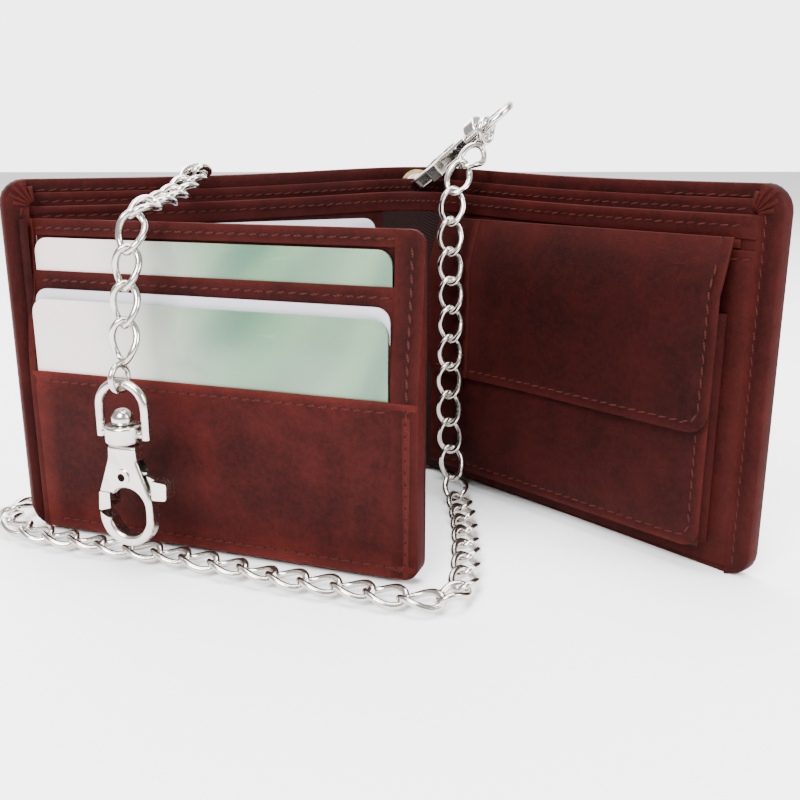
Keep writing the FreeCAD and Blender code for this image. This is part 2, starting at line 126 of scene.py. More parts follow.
class Finish:
    """A material under construction, with its shader."""

    def __init__(self, name, **constants):
        self.material = bpy.data.materials.new(name)
        self.material.use_nodes = True
        self.tree = self.material.node_tree
        self.shader = self.tree.nodes["Principled BSDF"]
        for label, value in constants.items():
            self.shader.inputs[label.replace("_", " ").title().replace("Ior", "IOR")].default_value = value

    def node(self, kind, settings=None, inputs=None, output=0):
        made = self.tree.nodes.new(kind)
        for label, value in (settings or {}).items():
            setattr(made, label, value)
        for label, value in (inputs or {}).items():
            self.feed(made.inputs[label], value)
        return Value(self, made.outputs[output])

    def feed(self, socket, value):
        if isinstance(value, Value):
            self.tree.links.new(value.socket, socket)
        else:
            socket.default_value = value

    def set(self, label, value):
        self.feed(self.shader.inputs[label], value)

    def place(self, stretch=(1, 1, 1)):
        """Object coordinates in millimetres, stretched."""
        where = self.node("ShaderNodeTexCoord", output=3)
        scale = tuple(TO_MM * s for s in stretch)
        return self.node("ShaderNodeMapping", None, {"Vector": where, "Scale": scale})

    def noise(self, size, detail=4.0, stretch=(1, 1, 1), distortion=0.0, roughness=0.55):
        inputs = {"Vector": self.place(stretch), "Scale": 1 / size, "Detail": detail,
                  "Distortion": distortion, "Roughness": roughness}
        return self.node("ShaderNodeTexNoise", None, inputs)

    def cells(self, size, feature="F1", stretch=(1, 1, 1)):
        inputs = {"Vector": self.place(stretch), "Scale": 1 / size}
        return self.node("ShaderNodeTexVoronoi", {"feature": feature}, inputs)

    def mix(self, mask, below, above):
        settings = {"data_type": "RGBA"}
        return self.node("ShaderNodeMix", settings, {0: mask, 6: below, 7: above}, output=2)

    def attribute(self, name):
        return self.node("ShaderNodeAttribute", {"attribute_name": name}, output=2)

    def bump(self, height, depth, strength=1.0):
        inputs = {"Height": height, "Distance": depth, "Strength": strength}
        self.set("Normal", self.node("ShaderNodeBump", None, inputs))


def rgb(*parts):
    return (*parts, 1.0)


def leather_finish(name, tone=1.0, wear=1.0, red=1.0):
    """Oiled, waxed leather: clouded colour, pale scuffs, rubbed edges and fine pores."""
    made = Finish(name, coat_roughness=0.35, specular_ior_level=0.05)
    dark = rgb(0.0072 * tone, 0.0014 * tone, 0.0013 * tone)
    body = rgb(0.0215 * tone * red, 0.0024 * tone, 0.0020 * tone)
    worn = rgb(0.0540 * tone * red, 0.0074 * tone, 0.0058 * tone)
    clouds = made.noise(31, 5, roughness=0.6, distortion=0.6)
    smoke = made.noise(9, 6, roughness=0.68)
    grain = made.noise(1.1, 5, roughness=0.7)
    pores = made.cells(0.55)
    creases = made.cells(2.3, "DISTANCE_TO_EDGE")
    scratches = made.noise(1.3, 3, stretch=(0.09, 0.09, 1.0), distortion=1.4)
    scratches_up = made.noise(1.6, 3, stretch=(1.0, 1.0, 0.07), distortion=1.1)
    edge = made.attribute("edge_wear")
    shade = (clouds * 0.62 + smoke * 0.38).above(0.36, 0.66)
    scuffs = (scratches.above(0.63, 0.74) + scratches_up.above(0.66, 0.78)) * clouds.above(0.42, 0.62)
    rubbed = edge * (smoke * 0.9 + 0.25) * wear + scuffs * 0.42 * wear + smoke.above(0.60, 0.80) * 0.28 * wear
    colour = made.mix(shade, dark, body)
    colour = made.mix(grain.above(0.30, 0.72) * 0.22 + rubbed * 0.75, colour, worn)
    colour = made.mix(pores.above(0.02, 0.22), rgb(0.004, 0.0012, 0.001), colour)
    made.set("Base Color", colour)
    made.set("Roughness", 0.54 + grain * 0.20 + rubbed * 0.12 - shade * 0.06)
    made.set("Coat Weight", shade * 0.02)
    height = pores.above(0.0, 0.34) * 0.35 + grain * 0.5 + creases.above(0.0, 0.10) * 0.14 - scuffs * 0.25
    made.bump(height, 0.00013, 0.85)
    return made.material


def raw_edge_finish():
    """Flesh side of the leather, matt and fibrous."""
    made = Finish("suede_side", roughness=0.86, specular_ior_level=0.2)
    fibres = made.noise(0.5, 6, roughness=0.75)
    clouds = made.noise(12, 3)
    colour = made.mix(fibres, rgb(0.014, 0.004, 0.0035), rgb(0.045, 0.013, 0.010))
    made.set("Base Color", made.mix(clouds * 0.5, colour, rgb(0.016, 0.005, 0.004)))
    made.bump(fibres, 0.00018)
    return made.material


def lining_finish():
    """Fine dark twill."""
    made = Finish("twill_lining", roughness=0.85, specular_ior_level=0.12)
    warp = made.node("ShaderNodeTexWave", {"bands_direction": "DIAGONAL"},
                     {"Vector": made.place(), "Scale": 0.75, "Distortion": 0.25})
    clouds = made.noise(7, 3)
    colour = made.mix(warp, rgb(0.005, 0.0018, 0.0017), rgb(0.014, 0.005, 0.0045))
    made.set("Base Color", made.mix(clouds * 0.35, colour, rgb(0.006, 0.0022, 0.0020)))
    made.bump(warp, 0.00008)
    return made.material


def thread_finish():
    """Waxed thread with two twisted plies."""
    made = Finish("waxed_thread", roughness=0.7, specular_ior_level=0.10)
    plies = made.node("ShaderNodeTexWave", {"bands_direction": "DIAGONAL"},
                      {"Vector": made.place(), "Scale": 1.1, "Distortion": 0.4})
    fade = made.noise(5, 3)
    colour = made.mix(plies, rgb(0.024, 0.0045, 0.0036), rgb(0.062, 0.014, 0.010))
    made.set("Base Color", made.mix(fade * 0.5, colour, rgb(0.034, 0.007, 0.0055)))
    made.bump(plies, 0.00010)
    return made.material


def nickel_finish(name, tint=(0.60, 0.565, 0.525), rough=0.13):
    """Bright nickel plate with fine handling marks."""
    made = Finish(name, metallic=1.0)
    smear = made.noise(4, 4, roughness=0.6)
    specks = made.noise(0.35, 3)
    marks = made.noise(0.6, 2, stretch=(0.2, 1.0, 0.5))
    dull = rgb(*(0.62 * part for part in tint))
    made.set("Base Color", made.mix(smear.above(0.40, 0.75) * 0.55, rgb(*tint), dull))
    made.set("Roughness", rough + smear * 0.13 + specks.above(0.60, 0.72) * 0.12)
    made.bump(marks * 0.6 + specks * 0.4, 0.00002, 0.5)
    return made.material


def brass_finish():
    return nickel_finish("polished_brass", (0.83, 0.60, 0.30), 0.17)


def spring_finish():
    return nickel_finish("spring_wire", (0.42, 0.42, 0.43), 0.30)


def hole_shade_finish():
    """The needle hole as a shallow dark disc: painted shade of the hole's inside."""
    made = Finish("needle_hole_shade", roughness=0.9, specular_ior_level=0.1)
    # Painted shade: the dark colour of the hole stands for the shadow inside it.
    made.set("Base Color", made.mix(made.noise(0.4, 3), rgb(0.004, 0.002, 0.002), rgb(0.014, 0.006, 0.005)))
    return made.material


def card_finish(name, printed):
    """Laminated card: a pale ground with soft green fans on the printed ones."""
    made = Finish(name, coat_weight=0.35, coat_roughness=0.12)
    speckle = made.noise(0.25, 3)
    haze = made.noise(40, 2)
    if printed:
        across = made.attribute("card_across")
        upward = made.attribute("card_up")
        ground = made.mix(across.above(0.10, 0.75), rgb(0.60, 0.53, 0.50), rgb(0.20, 0.31, 0.22))
        rays = (across * 2.6 - upward * 1.1 + haze * 0.9)
        fan = (across * 1.5 + upward * 0.35 - 0.52).above(0.0, 0.80)
        band = made.node("ShaderNodeMath", {"operation": "PINGPONG"}, {0: rays * 1.9, 1: 0.5}) * 2.0
        green = made.mix(band.above(0.15, 0.85), rgb(0.010, 0.080, 0.040), rgb(0.050, 0.140, 0.066))
        colour = made.mix(fan * 0.92, ground, green)
        beam = across * 2.0 - upward * 0.6
        glow = beam.above(0.75, 1.15) * (1 - beam.above(1.2, 1.6))
        colour = made.mix(glow * 0.15, colour, rgb(0.40, 0.46, 0.32))
    else:
        colour = made.mix(haze, rgb(0.36, 0.36, 0.40), rgb(0.46, 0.46, 0.51))
    scuffed = made.noise(1.1, 4, stretch=(0.15, 0.15, 1.0)).above(0.62, 0.80)
    colour = made.mix(speckle * 0.10 + scuffed * 0.12, colour, rgb(0.50, 0.45, 0.42))
    made.set("Base Color", colour)
    made.set("Roughness", 0.30 + speckle * 0.10 + scuffed * 0.2)
    made.bump(speckle, 0.00001, 0.4)
    return made.material


FINISHES = {}


def make_finishes():
    FINISHES.update(
        cover=leather_finish("cover_leather", 0.82, 1.0),
        inner=leather_finish("inner_leather", 0.80, 0.9, 1.02),
        dark=leather_finish("dark_leather", 0.80, 0.75, 0.98),
        pocket=leather_finish("pocket_leather", 0.92, 1.0, 1.0),
        face=leather_finish("face_leather", 1.42, 1.0, 1.0),
        suede=raw_edge_finish(),
        lining=lining_finish(),
        thread=thread_finish(),
        # Painted shade of the needle holes.
        hole=hole_shade_finish(),
        nickel=nickel_finish("nickel_plate"),
        chain=nickel_finish("chain_nickel", (0.58, 0.545, 0.505), 0.13),
        brass=brass_finish(),
        spring=spring_finish(),
        printed=card_finish("printed_card", True),
        grey=card_finish("grey_card", False),
    )


# ---------------------------------------------------------------- modelling helpers

def deselect():
    if bpy.context.object and bpy.context.object.mode != "OBJECT":
        bpy.ops.object.mode_set(mode="OBJECT")
    bpy.ops.object.select_all(action="DESELECT")


def activate(obj):
    deselect()
    obj.select_set(True)
    bpy.context.view_layer.objects.active = obj
    return obj


def choose_edges(mesh, test):
    """Selects the edges that pass the test on their two ends, in edit mode."""
    found = 0
    for edge in mesh.edges:
        edge.select = test(*(v.co for v in edge.verts))
        found += edge.select
    return found


def bevel_edges(obj, test, offset, segments):
    mesh = bmesh.from_edit_mesh(obj.data)
    for part in (*mesh.verts, *mesh.edges, *mesh.faces):
        part.select = False
    mesh.select_mode = {"EDGE"}
    if choose_edges(mesh, test):
        bmesh.update_edit_mesh(obj.data)
        bpy.ops.mesh.bevel(offset=offset, segments=segments, affect="EDGES", clamp_overlap=True)


def spread(low, high, step):
    """Places strictly between low and high, evenly spaced."""
    count = max(1, round((high - low) / step))
    return [low + (high - low) * n / count for n in range(1, count)]


def plate(name, u0, u1, z0, z1, thick, radii=(0, 0, 0, 0), cuts=((), ()), rim=0.22 * MM, step=6 * MM):
    """A flat leather blank: u along it, y through it, z up, with round corners and soft rims."""
    deselect()
    centre = ((u0 + u1) / 2, thick / 2, (z0 + z1) / 2)
    bpy.ops.mesh.primitive_cube_add(size=1, location=centre, scale=(u1 - u0, thick, z1 - z0))
    obj = bpy.context.object
    obj.name = obj.data.name = name
    bpy.ops.object.transform_apply(location=True, rotation=True, scale=True)
    bpy.ops.object.mode_set(mode="EDIT")
    small = 1e-6
    for (cu, cz), radius in zip(((u0, z0), (u1, z0), (u1, z1), (u0, z1)), radii):
        if radius:
            def at_corner(a, b, cu=cu, cz=cz):
                return all(abs(p.x - cu) < small and abs(p.z - cz) < small for p in (a, b))
            bevel_edges(obj, at_corner, radius, 6)
    if rim:
        def on_rim(a, b):
            return abs(a.y - b.y) < small
        bevel_edges(obj, on_rim, min(rim, thick * 0.45), 2)
    bpy.ops.mesh.select_mode(type="VERT")
    margin = 1.5 * (rim or small)
    for axis, low, high, extra in ((0, u0, u1, cuts[0]), (2, z0, z1, cuts[1])):
        places = spread(low, high, step) + [c for c in extra if low + margin < c < high - margin]
        for place in sorted(set(places)):
            point, normal = [0, 0, 0], [0, 0, 0]
            point[axis], normal[axis] = place, 1
            bpy.ops.mesh.select_all(action="SELECT")
            bpy.ops.mesh.bisect(plane_co=point, plane_no=normal)
    bpy.ops.object.mode_set(mode="OBJECT")
    return obj


def seam_cuts(*places):
    """Cut places either side of each seam, for its groove."""
    return [place + side * MM for place in places for side in (-0.9, -0.45, 0, 0.45, 0.9)]


def form(obj, shape, rim_wear=None):
    """Moves every point of the flat blank by shape(u, y, z), and stores how rubbed its rims are."""
    mesh = obj.data
    if rim_wear:
        u0, u1, z0, z1 = rim_wear
        layer = mesh.attributes.new("edge_wear", "FLOAT", "POINT")
        for n, vertex in enumerate(mesh.vertices):
            u, _, z = vertex.co
            near = min(abs(u - u0), abs(u1 - u), abs(z - z0), abs(z1 - z))
            layer.data[n].value = math.exp(-near / (1.1 * MM))
    for vertex in mesh.vertices:
        vertex.co = shape(*vertex.co)
    mesh.update()
    turn_out(obj)
    return obj


def turn_out(obj):
    activate(obj)
    bpy.ops.object.mode_set(mode="EDIT")
    bpy.ops.mesh.select_all(action="SELECT")
    bpy.ops.mesh.remove_doubles(threshold=1e-6)
    bpy.ops.mesh.normals_make_consistent(inside=False)
    bpy.ops.object.mode_set(mode="OBJECT")


def smooth(obj, angle=40):
    activate(obj)
    bpy.ops.object.shade_smooth_by_angle(angle=math.radians(angle))
    return obj


def dress(obj, body, slot, *finishes, stands_for=()):
    for finish in finishes:
        obj.data.materials.append(FINISHES[finish])
    if body:
        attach(obj, body)
    if stands_for:
        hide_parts(*stands_for)
    return obj


def groove(value, places, depth=0.16 * MM, width=0.55 * MM):
    return sum(depth * math.exp(-((value - place) / width) ** 2) for place in places)


def ripple(u, z, seed, height, size):
    return height * noise.noise(Vector((u / size, seed, z / size)))


class Lie:
    """Where a leather layer lies: u along its half, y into it from the outer face, z up."""

    def __init__(self, matrix, depth, slope=0.0, seed=0.0, wave=0.25 * MM, size=28 * MM,
                 up=(), along=()):
        self.matrix, self.depth, self.slope, self.seed = matrix, depth, slope, seed
        self.wave, self.size, self.up, self.along = wave, size, up, along

    def __call__(self, u, y, z):
        press = groove(z, self.up) + groove(u, self.along)
        depth = self.depth + self.slope * (BORDER - u) + y + ripple(u, z, self.seed, self.wave, self.size)
        return self.matrix @ Vector((u, depth - press, z))


class Wrap:
    """Where a layer lies that runs round the spine: u is negative on the left half."""

    def __init__(self, depth, slopes=(0.0, 0.0), bend=9.6 * MM, flat=SPINE_FLAT, seed=0.0,
                 wave=0.2 * MM, up=()):
        self.depth, self.slopes, self.bend, self.flat = depth, slopes, bend, flat
        self.seed, self.wave, self.up = seed, wave, up

    def point(self, side, u, y, z):
        z *= 1 + SPINE_RISE * math.exp(-(u / RISE_REACH) ** 2)
        matrix, slope = ((LEFT, self.slopes[0]), (RIGHT, self.slopes[1]))[side]
        wave = ripple(u * (1 - 2 * side), z, self.seed, self.wave, 30 * MM)
        depth = self.depth + slope * (BORDER - u) + y + wave
        return matrix @ Vector((u, depth - groove(z, self.up), z))

    def __call__(self, u, y, z):
        if abs(u) >= self.bend:
            return self.point(int(u > 0), abs(u), y, z)
        handle = self.bend - (self.bend - self.flat) / 0.75
        ends = [self.point(side, self.bend, y, z) for side in (0, 1)]
        inner = [self.point(side, handle, y, z) for side in (0, 1)]
        t = (u + self.bend) / (2 * self.bend)
        s = 1 - t
        return ends[0] * s ** 3 + inner[0] * 3 * s * s * t + inner[1] * 3 * s * t * t + ends[1] * t ** 3


def bent_plate(name, left, right, z0, z1, thick, lie, **more):
    """A layer that runs round the spine, with close cuts where it bends."""
    bend = [lie.bend * n / 8 for n in range(-8, 9)]
    cuts_u, cuts_z = more.pop("cuts", ((), ()))
    obj = plate(name, left, right, z0, z1, thick, cuts=(list(cuts_u) + bend, cuts_z), **more)
    return form(obj, lie, (left, right, z0, z1))


def cross_spine(obj):
    """Bakes a layer's placement into its mesh."""
    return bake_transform(obj)


# ---------------------------------------------------------------- stitching

STITCH_PITCH = 2.55 * MM
STITCH_LENGTH = 2.0 * MM


def stitch_blank():
    """One stitch: a short thread that dives into the leather at both ends, and its needle hole, a shallow disc
    that carries painted shade.
    """
    deselect()
    bpy.ops.mesh.primitive_uv_sphere_add(segments=8, ring_count=7, radius=1)
    obj = bpy.context.object
    bpy.ops.object.mode_set(mode="EDIT")
    bpy.ops.mesh.select_all(action="SELECT")
    bpy.ops.transform.rotate(value=math.pi / 2, orient_axis="Y", center_override=(0, 0, 0))
    bpy.ops.transform.resize(value=(STITCH_LENGTH / 2, 0.28 * MM, 0.25 * MM))
    bpy.ops.object.mode_set(mode="OBJECT")
    for vertex in obj.data.vertices:
        vertex.co.y -= 0.14 * MM * (1 - (2 * vertex.co.x / STITCH_LENGTH) ** 2)
    thread = obj.data.copy()
    bpy.data.objects.remove(obj)
    deselect()
    # The needle hole: a flattened disc half sunk in the surface, for the painted shade of the hole.
    bpy.ops.mesh.primitive_uv_sphere_add(segments=8, ring_count=4, radius=1)
    obj = bpy.context.object
    bpy.ops.object.mode_set(mode="EDIT")
    bpy.ops.transform.resize(value=(0.25 * MM, 0.05 * MM, 0.22 * MM))
    bpy.ops.object.mode_set(mode="OBJECT")
    hole = obj.data.copy()
    bpy.data.objects.remove(obj)
    return thread, hole


def along_line(points, pitch):
    """Evenly spaced (u, z, direction) along a line of (u, z) points."""
    found, carry = [], pitch / 2
    for (u0, z0), (u1, z1) in zip(points, points[1:]):
        length = math.hypot(u1 - u0, z1 - z0)
        angle = math.atan2(z1 - z0, u1 - u0)
        while carry < length:
            share = carry / length
            found.append((u0 + (u1 - u0) * share, z0 + (z1 - z0) * share, angle))
            carry += pitch
        carry -= length
    return found


def stitching(name, lines, lie, y, facing, blanks):
    """Stitches along lines of (u, z) points, standing on the surface y of a lie, facing -y or +y of it."""
    points, faces, finish_index = [], [], []
    thread, hole = blanks
    for line in lines:
        for number, (u, z, angle) in enumerate(along_line(line, STITCH_PITCH)):
            lean = angle + math.radians(9 + 4 * math.sin(number * 1.7))
            for kind, blank in enumerate((thread, hole)):
                shift = STITCH_PITCH / 2 if kind else 0
                start = len(points)
                for vertex in blank.vertices:
                    x, out, v = vertex.co
                    x += shift
                    uu = u + x * math.cos(lean) - v * math.sin(lean)
                    zz = z + x * math.sin(lean) + v * math.cos(lean)
                    points.append(lie(uu, y - facing * out, zz))
                faces += [[start + i for i in polygon.vertices] for polygon in blank.polygons]
                finish_index += [kind] * len(blank.polygons)
    mesh = bpy.data.meshes.new(name)
    mesh.from_pydata(points, [], faces)
    mesh.polygons.foreach_set("material_index", finish_index)
    obj = bpy.data.objects.new(name, mesh)
    bpy.context.collection.objects.link(obj)
    turn_out(obj)
    return smooth(obj, 80)


def sew(name, lines, lie, y, facing, blanks, body=None):
    """Stitches in thread, with their needle holes, on one body or on none."""
    seam = stitching(name, lines, lie, y, facing, blanks)
    # The needle holes take the painted shade finish.
    return dress(seam, body, "leather", "thread", "hole")


def arc(cu, cz, radius, start, end, steps=4):
    angles = (math.radians(start + (end - start) * n / steps) for n in range(steps + 1))
    return [(cu + radius * math.cos(a), cz + radius * math.sin(a)) for a in angles]


# ---------------------------------------------------------------- chain

MAIN_CHAIN = [
    (0.0150, -0.0192, 0.0882), (0.0118, -0.0226, 0.0862), (0.0079, -0.0269, 0.0798),
    (0.0069, -0.0281, 0.0684), (0.0076, -0.0276, 0.0480), (0.0070, -0.0284, 0.0240),
    (0.0079, -0.0288, 0.0110), (0.0087, -0.0326, 0.0039), (0.0092, -0.0400, 0.0026),
    (0.0094, -0.0510, 0.0026), (0.0086, -0.0660, 0.0026), (0.0074, -0.0800, 0.0026),
    (0.0058, -0.0895, 0.0026), (0.0012, -0.0948, 0.0026), (-0.0056, -0.0940, 0.0026),
    (-0.0155, -0.0894, 0.0026), (-0.0290, -0.0846, 0.0026), (-0.0460, -0.0764, 0.0026),
    (-0.0630, -0.0688, 0.0026), (-0.0800, -0.0633, 0.0026), (-0.0920, -0.0576, 0.0026),
    (-0.0996, -0.0516, 0.0026), (-0.1016, -0.0438, 0.0026), (-0.0976, -0.0364, 0.0026),
    (-0.0890, -0.0308, 0.0026), (-0.0794, -0.0266, 0.0050), (-0.0706, -0.0220, 0.0130),
    (-0.0636, -0.0188, 0.0270), (-0.0592, -0.0160, 0.0470), (-0.0568, -0.0154, 0.0650),
    (-0.0554, -0.0176, 0.0750), (-0.0550, -0.0192, 0.0796), (-0.0548, -0.0209, 0.0820),
    (-0.05465, -0.0230, 0.0834),
]
BRIDGE_CHAIN = [
    (-0.05465, -0.0230, 0.0834), (-0.0545, -0.0268, 0.0840), (-0.0546, -0.0325, 0.0826),
    (-0.0558, -0.0408, 0.0800), (-0.0573, -0.0496, 0.0780), (-0.0584, -0.0565, 0.0774),
]
DROP_CHAIN = [
    (-0.0587, -0.0580, 0.0773), (-0.0602, -0.0627, 0.0771), (-0.0615, -0.0664, 0.0730),
    (-0.0624, -0.0689, 0.0655), (-0.0630, -0.0707, 0.0560), (-0.0634, -0.0723, 0.0466),
]


def route_line(points):
    """The smooth line of a route, as points close together."""
    curve = bpy.data.curves.new("route", "CURVE")
    curve.dimensions = "3D"
    spline = curve.splines.new("NURBS")
    spline.points.add(len(points) - 1)
    for place, point in zip(spline.points, points):
        place.co = (*point, 1)
    spline.order_u = 3
    spline.use_endpoint_u = True
    spline.resolution_u = 24
    holder = bpy.data.objects.new("route", curve)
    bpy.context.collection.objects.link(holder)
    mesh = bpy.data.meshes.new_from_object(holder)
    line = [vertex.co.copy() for vertex in mesh.vertices]
    bpy.data.objects.remove(holder)
    return line


def walk(line, places):
    """(point, direction) at each distance along a line."""
    found, travelled, n = [], 0.0, 0
    for place in places:
        while n < len(line) - 2 and travelled + (line[n + 1] - line[n]).length < place:
            travelled += (line[n + 1] - line[n]).length
            n += 1
        step = line[n + 1] - line[n]
        share = (place - travelled) / max(step.length, 1e-9)
        found.append((line[n] + step * share, step.normalized()))
    return found


def line_length(line):
    return sum((b - a).length for a, b in zip(line, line[1:]))


def link_blank(sizes):
    """One curb link: an oval ring of wire whose ends are twisted against each other."""
    deselect()
    bpy.ops.mesh.primitive_torus_add(
        major_segments=24, minor_segments=9, major_radius=1.0, minor_radius=0.25)
    obj = bpy.context.object
    half_length = sizes.link_length / 2 - sizes.wire / 2
    half_width = sizes.link_width / 2 - sizes.wire / 2
    twist = math.radians(sizes.twist)
    for vertex in obj.data.vertices:
        x, y, z = vertex.co
        angle = math.atan2(y, x)
        ring = math.hypot(x, y) - 1.0
        centre = Vector((half_length * math.cos(angle), half_width * math.sin(angle), 0))
        outward = Vector((half_width * math.cos(angle), half_length * math.sin(angle), 0)).normalized()
        point = centre + (outward * ring + UP * z) * (sizes.wire / 2 / 0.25)
        point.rotate(Matrix.Rotation(twist * point.x / half_length, 3, "X"))
        vertex.co = point
    mesh = obj.data.copy()
    bpy.data.objects.remove(obj)
    return mesh


def chain_mesh(name, route, blank, sizes, face, ends=(0.0, 0.0)):
    """Curb links along a route; face is the way their flat side looks at the start."""
    line = route_line(route)
    length = line_length(line)
    count = round((length - sum(ends)) / sizes.pitch)
    pitch = (length - sum(ends)) / count
    places = [ends[0] + pitch * (n + 0.5) for n in range(count)]
    samples = walk(line, places)
    points, faces = [], []
    normal = Vector(face)
    for number, (centre, along) in enumerate(samples):
        if centre.z < 3.2 * MM:
            normal = UP.copy()
        normal = (normal - along * normal.dot(along)).normalized()
        side = normal.cross(along)
        roll = math.radians(7 * math.sin(number * 2.1) + 5 * math.sin(number * 0.9))
        turned = normal * math.cos(roll) + side * math.sin(roll)
        axes = Matrix((along, turned.cross(along), turned)).transposed()
        start = len(points)
        points += [centre + axes @ vertex.co for vertex in blank.vertices]
        faces += [[start + i for i in polygon.vertices] for polygon in blank.polygons]
    mesh = bpy.data.meshes.new(name)
    mesh.from_pydata(points, [], faces)
    obj = bpy.data.objects.new(name, mesh)
    bpy.context.collection.objects.link(obj)
    smooth(obj, 80)
    return obj, line, length


# ---------------------------------------------------------------- settings

class ChainSizes(bpy.types.PropertyGroup):
    link_length: FloatProperty(name="Link length", description="Outside length of a link",
                               default=10.2 * MM, unit="LENGTH")
    link_width: FloatProperty(name="Link width", description="Outside width of a link",
                              default=6.9 * MM, unit="LENGTH")
    wire: FloatProperty(name="Wire", description="Diameter of the links' wire",
                        default=1.5 * MM, unit="LENGTH")
    pitch: FloatProperty(name="Pitch", description="Distance from link to link",
                         default=7.3 * MM, unit="LENGTH")
    twist: FloatProperty(name="Twist", description="Half the twist of a link, in degrees", default=34.0)


class StageSizes(bpy.types.PropertyGroup):
    lens: FloatProperty(name="Lens", description="Focal length", default=42.27, unit="CAMERA")
    camera: FloatVectorProperty(name="Camera", description="Where the camera stands",
                                default=(-11.04 * MM, -262.97 * MM, 88.02 * MM), subtype="TRANSLATION")
    tilt: FloatProperty(name="Tilt", description="How far the camera looks down",
                        default=math.radians(14.97), subtype="ANGLE")
    turn: FloatProperty(name="Turn", description="How far the camera looks to the right",
                        default=math.radians(1.36), subtype="ANGLE")
    shift: FloatProperty(name="Shift", description="Upward shift of the picture", default=0.003)
    floor: FloatVectorProperty(name="Floor", description="Colour of the floor",
                               default=(0.95, 0.95, 0.95), subtype="COLOR")


class WalletSettings(bpy.types.PropertyGroup):
    chain: PointerProperty(type=ChainSizes)
    stage: PointerProperty(type=StageSizes)


# ---------------------------------------------------------------- operators

class Builder:
    """What all the wallet's operators share."""

    bl_options = {"REGISTER"}

    def execute(self, context):
        self.build(context.scene.wallet)
        return {"FINISHED"}


class WALLET_OT_finishes(Builder, bpy.types.Operator):
    """Make the leathers, threads, metals and card prints"""

    bl_idname = "wallet.finishes"
    bl_label = "Finishes"

    def build(self, settings):
        make_finishes()


class WALLET_OT_cover(Builder, bpy.types.Operator):
    """Make the outer cover round the spine, its lining and its stitching"""

    bl_idname = "wallet.cover"
    bl_label = "Cover"

    def build(self, settings):
        blanks = stitch_blank()
        edge = HALF - 2.6 * MM
        lie = Wrap(0, seed=3.0, wave=0.0)
        cover = bent_plate("outer_cover", -HALF, HALF, 0, HEIGHT, 1.4 * MM, lie,
                           radii=(6 * MM,) * 4, rim=0.5 * MM,
                           cuts=([], seam_cuts(2.6 * MM, HEIGHT - 2.6 * MM)))
        self.punch(cover)
        smooth(cover)
        dress(cover, None, "leather", "cover", stands_for=("cover_left", "cover_right", "spine_cover"))
        cross_spine(cover)
        top = HEIGHT - 2.6 * MM
        low = 2.6 * MM
        bend = 4 * MM
        outer = [[(-70 * MM, top), (-edge + bend, top),
                  *arc(-edge + bend, top - bend, bend, 90, 180), (-edge, low + bend),
                  *arc(-edge + bend, low + bend, bend, 180, 270), (-10 * MM, low)],
                 [(10 * MM, low), (edge - bend, low),
                  *arc(edge - bend, low + bend, bend, -90, 0), (edge, top - bend),
                  *arc(edge - bend, top - bend, bend, 0, 90), (70 * MM, top)]]
        cross_spine(sew("cover_stitches", outer, lie, 0, 1, blanks))
        inner_top = [[(-edge + 5 * MM, top), (-72 * MM, top)], [(80 * MM, top), (edge - 5 * MM, top)]]
        cross_spine(sew("cover_top_stitches", inner_top, lie, 1.4 * MM, -1, blanks))
        lining = Wrap(1.42 * MM, bend=10.4 * MM, flat=7 * MM, seed=5.0, wave=0.0)
        cloth = bent_plate("bill_lining", -BORDER, BORDER, 1.6 * MM, HEIGHT - 3 * MM, 0.28 * MM,
                           lining, rim=0)
        dress(smooth(cloth), None, "lining", "lining", stands_for=("bill_lining_left", "bill_lining_right"))
        cross_spine(cloth)

    def punch(self, cover):
        """Cuts the eyelet's hole."""
        low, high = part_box("spine_eyelet")
        centre = (Vector(low) + Vector(high)) / 2
        deselect()
        bpy.ops.mesh.primitive_cylinder_add(
            vertices=32, radius=3.55 * MM, depth=12 * MM, location=centre,
            rotation=(math.pi / 2, 0, math.radians(-12)))
        punch = bpy.context.object
        cut = cover.modifiers.new("eyelet_hole", "BOOLEAN")
        cut.operation, cut.object, cut.solver = "DIFFERENCE", punch, "EXACT"
        activate(cover)
        bpy.ops.object.modifier_apply(modifier=cut.name)
        bpy.data.objects.remove(punch)


